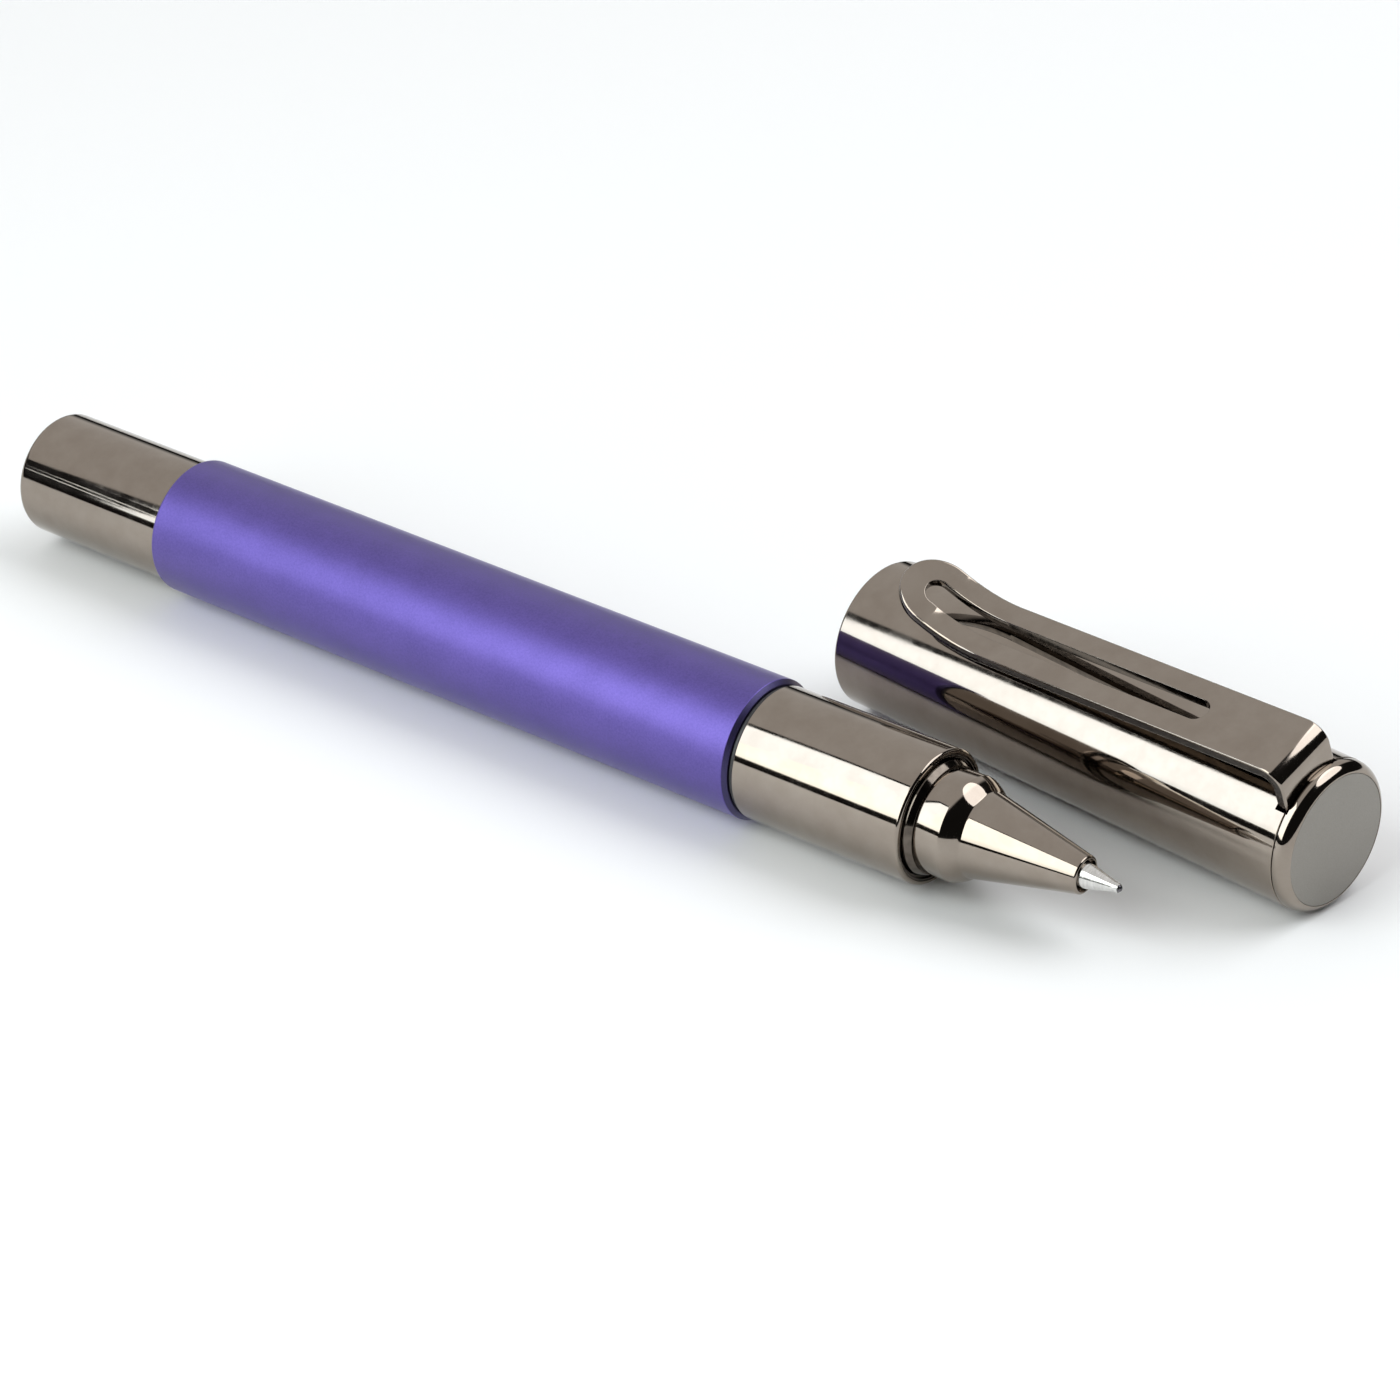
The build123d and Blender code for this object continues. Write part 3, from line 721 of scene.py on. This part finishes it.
def clip_path():
    """The strip's middle line: its start, its first heading, and its (length, curve) stretches."""
    rise = CLIP_ROOT_MIDDLE - CLIP_BEND[1]
    slope = math.atan2(rise, CLIP_TAB_MIDDLE - CLIP_BEND[0])
    kick_turn = CLIP_KICK + slope
    kick_cut = CLIP_KICK_RADIUS * math.tan(kick_turn / 2)
    fold_turn = math.pi / 2 + slope
    fold_cut = CLIP_FOLD_RADIUS * math.tan(fold_turn / 2)
    kick_length = (CLIP_BEND[0] - CLIP_FREE) / math.cos(CLIP_KICK) - kick_cut
    main_length = math.hypot(rise, CLIP_TAB_MIDDLE - CLIP_BEND[0]) - kick_cut - fold_cut
    tab_length = CLIP_ROOT_MIDDLE - CLIP_TAB_FOOT - fold_cut
    start = (CLIP_FREE, CLIP_BEND[1] + (CLIP_BEND[0] - CLIP_FREE) * math.tan(CLIP_KICK))
    return start, -CLIP_KICK, [
        (kick_length, 0), (CLIP_KICK_RADIUS * kick_turn, 1 / CLIP_KICK_RADIUS), (main_length, 0),
        (CLIP_FOLD_RADIUS * fold_turn, -1 / CLIP_FOLD_RADIUS), (tab_length, 0),
    ]


def along_clip(distance):
    """Point and heading of the middle line at a distance from the free end."""
    (x, z), heading, stretches = clip_path()
    for index, (length, curve) in enumerate(stretches):
        run = distance if index == len(stretches) - 1 else min(distance, length)
        if curve:
            x += (math.sin(heading + curve * run) - math.sin(heading)) / curve
            z -= (math.cos(heading + curve * run) - math.cos(heading)) / curve
            heading += curve * run
        else:
            x += math.cos(heading) * run
            z += math.sin(heading) * run
        distance -= run
        if distance <= 0:
            break
    return x, z, heading


def clip_distance(station):
    """Distance along the middle line at which it reaches a station, by halving."""
    low, high, halvings = 0.0, CAP_LENGTH, 40
    for _ in range(halvings):
        middle = (low + high) / 2
        if along_clip(middle)[0] < station:
            low = middle
        else:
            high = middle
    return (low + high) / 2


def clip_blank(length, slot_start, slot_end):
    """Flat slotted strip with a rounded free end, centred on its own thickness."""
    half, slot = CLIP_HALF_WIDTH, CLIP_SLOT_HALF
    end_reach = half / math.cos(CLIP_KICK)
    quarter = math.pi / 2
    free_end = [(end_reach - end_reach * math.cos(angle), half * math.sin(angle))
                for angle in (quarter * step / 32 for step in range(33))]
    slot_front = [(slot_end - slot + slot * math.sin(angle), slot * math.cos(angle))
                  for angle in (quarter * (1 - step / 16) for step in range(17))]
    slot_back = [(slot_start + slot - slot * math.sin(angle), slot * math.cos(angle))
                 for angle in (quarter * step / 16 for step in range(17))]
    half_outline = free_end + [(length, half), (length, 0)] + slot_front + slot_back
    bm = bmesh.new()
    blank = bm.faces.new([bm.verts.new((x, y, -CLIP_THICKNESS / 2)) for x, y in half_outline])
    bmesh.ops.mirror(bm, geom=bm.verts[:] + bm.edges[:] + [blank], merge_dist=0.0001, axis="Y")
    raised = bmesh.ops.extrude_face_region(bm, geom=bm.faces[:])
    top = [item for item in raised["geom"] if isinstance(item, bmesh.types.BMVert)]
    bmesh.ops.translate(bm, vec=(0, 0, CLIP_THICKNESS), verts=top)
    bmesh.ops.recalc_face_normals(bm, faces=bm.faces)
    return bm


def round_clip_edges(bm, slot_start, slot_end):
    """Round the blank's edges: full on the outer top, finer in the slot and underneath."""
    def in_slot(edge):
        return all(abs(vert.co.y) < CLIP_SLOT_HALF + 0.01
                   and slot_start - 0.01 < vert.co.x < slot_end + 0.01 for vert in edge.verts)

    top, under = 1, -1
    for side, slotted, radius, steps in (
        (top, False, 0.24, 5), (top, True, 0.09, 3), (under, False, 0.12, 3), (under, True, 0.06, 2),
    ):
        level = side * CLIP_THICKNESS / 2
        rim = [edge for edge in bm.edges
               if all(abs(vert.co.z - level) < 1e-4 for vert in edge.verts)
               and edge.calc_face_angle(0) > 1.0 and in_slot(edge) == slotted]
        bmesh.ops.bevel(
            bm, geom=rim, offset=radius, offset_type="OFFSET", segments=steps,
            profile=0.5, affect="EDGES", material=-1, clamp_overlap=False,
        )


def bend_clip(bm, stretches):
    """Cut the blank across wherever it curves, then bend it along its middle line."""
    fine_turn, coarse_turn = math.radians(1.2), math.radians(4)
    cuts, reach = [], 0.0
    for length, curve in stretches:
        turn = fine_turn if abs(curve) < 1 else coarse_turn
        count = max(2, math.ceil(length * abs(curve) / turn))
        cuts += [reach + length * step / count for step in range(count)]
        reach += length
    for cut in cuts[1:]:
        bmesh.ops.bisect_plane(
            bm, geom=bm.verts[:] + bm.edges[:] + bm.faces[:], dist=1e-5,
            plane_co=(cut, 0, 0), plane_no=(1, 0, 0),
        )
    for vert in bm.verts:
        height = vert.co.z
        x, z, heading = along_clip(vert.co.x)
        vert.co.x = x - math.sin(heading) * height
        vert.co.z = z + math.cos(heading) * height


def make_clip():
    """Slotted strip: flat blank, edges rounded, then bent along its middle line."""
    _, _, stretches = clip_path()
    slot = [clip_distance(station) for station in CLIP_SLOT]
    bm = clip_blank(sum(length for length, _ in stretches), *slot)
    round_clip_edges(bm, *slot)
    # Side and underside faces take the darker material: painted shade.
    for face in bm.faces:
        face.material_index = int(face.normal.z < 0.3)
    bend_clip(bm, stretches)
    clip = finish_piece(bm, "clip_bent", CAP, "clip_body", "clip", GUNMETAL_CLIP)
    clip.data.materials.append(CLIP_SIDES_PAINTED_SHADE)
    even_normals(clip)


make_barrel()
make_tail()
make_refill_spring()
make_spacer()
make_bush()
make_o_ring()
make_grip()
make_cover_ring()
make_nose()
make_tip()
make_cap_tube()
make_finial()
make_clip()

# ---------------------------------------------------------------- inner parts kept from the frame
INNER_FINISHES = {
    "barrel_liner": BRASS, "tail_magnet": MAGNET, "spring_seat": BLACK_PLASTIC,
    "front_magnet": MAGNET, "refill_tube": MILKY_PLASTIC, "refill_end_plug": BLACK_PLASTIC,
    "ink_core": INK_FIBRE, "refill_feed": BLACK_PLASTIC, "cap_magnet": MAGNET,
    "cap_liner": BLACK_PLASTIC, "cap_bush": BRASS, "clip_anchor_ring": GUNMETAL,
}
for node_name, finish in INNER_FINISHES.items():
    node = frame["nodes"][node_name]
    node.data.materials.clear()
    node.data.materials.append(finish)


# ---------------------------------------------------------------- studio
CAMERA_AZIMUTH, CAMERA_ELEVATION, CAMERA_ROLL = 50.77, 29.82, -0.736
# Where the camera looks, from the barrel's front, and its distance, both in barrel radii.
CAMERA_TARGET, CAMERA_DISTANCE = Vector((-1.609, 0.4892, 0)), 65.01


def camera_directions():
    """Unit vectors from the object to the camera, to its right and up, with its slight roll."""
    azimuth, elevation, roll = (
        math.radians(angle) for angle in (CAMERA_AZIMUTH, CAMERA_ELEVATION, CAMERA_ROLL))
    back = Vector((math.cos(azimuth) * math.cos(elevation), -math.sin(azimuth) * math.cos(elevation),
                   math.sin(elevation)))
    right = Vector((0, 0, 1)).cross(back).normalized()
    up = back.cross(right)
    tilted_right = right * math.cos(roll) + up * math.sin(roll)
    return back, tilted_right, back.cross(tilted_right)


def make_camera():
    """Long lens, looking down at the pen from its writing end."""
    back, right, up = camera_directions()
    target = pen_front + CAMERA_TARGET * pen_radius
    data = bpy.data.cameras.new("camera")
    data.sensor_width = 36
    data.lens = 122.34
    data.clip_start = 0.01
    data.clip_end = 20
    camera = bpy.data.objects.new("camera", data)
    turn = Matrix((right, up, back)).transposed().to_4x4()
    place = target + back * (CAMERA_DISTANCE * pen_radius)
    camera.matrix_world = Matrix.Translation(place) @ turn
    bpy.context.scene.collection.objects.link(camera)
    bpy.context.scene.camera = camera


def flat_card(name, centre, width, height, facing, material):
    """A flat rectangle whose front looks along facing."""
    bm = bmesh.new()
    bmesh.ops.create_grid(bm, x_segments=1, y_segments=1, size=0.5)
    turn = Vector(facing).normalized().to_track_quat("Z", "Y").to_matrix().to_4x4()
    place = Matrix.Translation(centre) @ turn @ Matrix.Diagonal((width, height, 1, 1))
    bmesh.ops.transform(bm, matrix=place, verts=bm.verts)
    mesh = bpy.data.meshes.new(name)
    bm.to_mesh(mesh)
    bm.free()
    mesh.materials.append(material)
    card = bpy.data.objects.new(name, mesh)
    bpy.context.scene.collection.objects.link(card)
    return card


def plain_floor():
    """Pale matt table top."""
    material, _, shader, _ = new_material("pale_floor")
    shader.inputs["Base Color"].default_value = (0.90, 0.905, 0.91, 1)
    shader.inputs["Roughness"].default_value = 0.6
    shader.inputs["Specular IOR Level"].default_value = 0.25
    side = 6
    flat_card("floor", (0, 0, 0), side, side, (0, 0, 1), material)


def black_card():
    """Matt black card."""
    material, _, shader, _ = new_material("black_card")
    shader.inputs["Base Color"].default_value = (0.01, 0.01, 0.01, 1)
    shader.inputs["Roughness"].default_value = 0.9
    return material


def area_light(name, place, facing, width, height, radiance, colour, shape="RECTANGLE"):
    """Soft flat light of an even radiance that shines along facing."""
    data = bpy.data.lights.new(name, "AREA")
    data.shape = shape
    data.size = width
    data.size_y = height
    fill = math.pi / 4 if shape == "ELLIPSE" else 1.0
    data.energy = radiance * math.pi * width * height * fill
    data.color = colour
    light = bpy.data.objects.new(name, data)
    turn = Vector(facing).to_track_quat("-Z", "Y").to_matrix().to_4x4()
    light.matrix_world = Matrix.Translation(place) @ turn
    light.visible_camera = False
    bpy.context.scene.collection.objects.link(light)


# The window's plane on the near side: a point on it, the way it looks, and its own right and up.
WINDOW_POINT = Vector((-0.42, -0.62, 0.42))
WINDOW_FACING = -WINDOW_POINT.normalized()
WINDOW_RIGHT = WINDOW_FACING.cross(Vector((0, 0, 1))).normalized()
WINDOW_UP = WINDOW_RIGHT.cross(WINDOW_FACING)


def on_window(left, right, bottom, top):
    """Centre, width and height of a rectangle on the window's plane."""
    middle = WINDOW_POINT + WINDOW_RIGHT * (left + right) / 2 + WINDOW_UP * (bottom + top) / 2
    return middle, right - left, top - bottom


def room_background(dim, bright, horizon, shade_from, shade):
    """Even grey room above, dark near the horizon and on the side past the writing end."""
    world = bpy.data.worlds.new("room")
    bpy.context.scene.world = world
    world.use_nodes = True
    tree = world.node_tree
    parts = tree.nodes.new("ShaderNodeSeparateXYZ")
    tree.links.new(tree.nodes.new("ShaderNodeTexCoord").outputs["Generated"], parts.inputs["Vector"])
    forward = tree.nodes.new("ShaderNodeMath")
    forward.operation = "MAXIMUM"
    forward.inputs[1].default_value = shade_from
    tree.links.new(parts.outputs["X"], forward.inputs[0])
    height = total(tree, parts.outputs["Z"], forward.outputs["Value"], -shade)
    start, end = (level - shade * shade_from for level in horizon)
    strength = spread(tree, height, dim, bright, start, end)
    background = tree.nodes["Background"]
    background.inputs["Color"].default_value = (1.0, 0.985, 0.97, 1)
    tree.links.new(strength, background.inputs["Strength"])


def window_pane(name, left, right, bottom, top, radiance, colour):
    """One lit pane of the window."""
    middle, width, height = on_window(left, right, bottom, top)
    area_light(name, middle, WINDOW_FACING, width, height, radiance, colour)


def dark_strip(name, middle, width, height, facing, material):
    """A black strip that only shows as a dark line in the mirror finishes."""
    flat_card(name, middle, width, height, facing, material).visible_camera = False


def make_window():
    """Window of three panes in a thin black frame, cooler toward the tail, taller toward the point."""
    left, split, step, right = -0.18, -0.01, 0.05, 0.56
    bottom, top, high_top, frame_width = -0.33, 0.38, 0.56, 0.04
    cool, warm = (0.81, 0.92, 1.0), (0.94, 1.0, 0.98)
    window_pane("window_cool_pane", left, split, bottom, top, 3.3, cool)
    window_pane("window_warm_pane", split, right, bottom, top, 3.4, warm)
    window_pane("window_high_pane", step, right, top, high_top, 3.4, warm)
    black = black_card()
    for name, edges in (
        ("frame_left", (left - frame_width, left, bottom, top + frame_width)),
        ("frame_top", (left, step, top, top + frame_width)),
        ("frame_step", (step - frame_width, step, top + frame_width, high_top + frame_width)),
        ("frame_high_top", (step, right, high_top, high_top + frame_width)),
    ):
        middle, width, height = on_window(*edges)
        dark_strip(name, middle, width, height, WINDOW_FACING, black)
    make_slats(black)


def make_slats(black):
    """Dark slats beside the tail, with thin gaps, which give its side a streaked dark band."""
    x, y, length, facing = -0.348, -0.198, 0.20, (0.68, 0.72, 0)
    for index, (low, high) in enumerate(((0.030, 0.083), (0.087, 0.110), (0.114, 0.165))):
        middle = Vector((x, y, (low + high) / 2))
        dark_strip("dark_slat_%d" % index, middle, length, high - low, facing, black)


def make_studio():
    """Window on the near side, soft light from above and behind, grey room dark to the right."""
    room_background(dim=0.015, bright=0.78, horizon=(0.10, 0.24), shade_from=-0.15, shade=1.9)
    plain_floor()
    make_window()
    above = Vector((0.50, 0.55, 0.95))
    area_light("top_soft", above, -above, 1.1, 0.95, 3.3, (0.965, 0.98, 1.0), "ELLIPSE")


make_camera()
make_studio()
bpy.context.scene.view_settings.view_transform = "Standard"
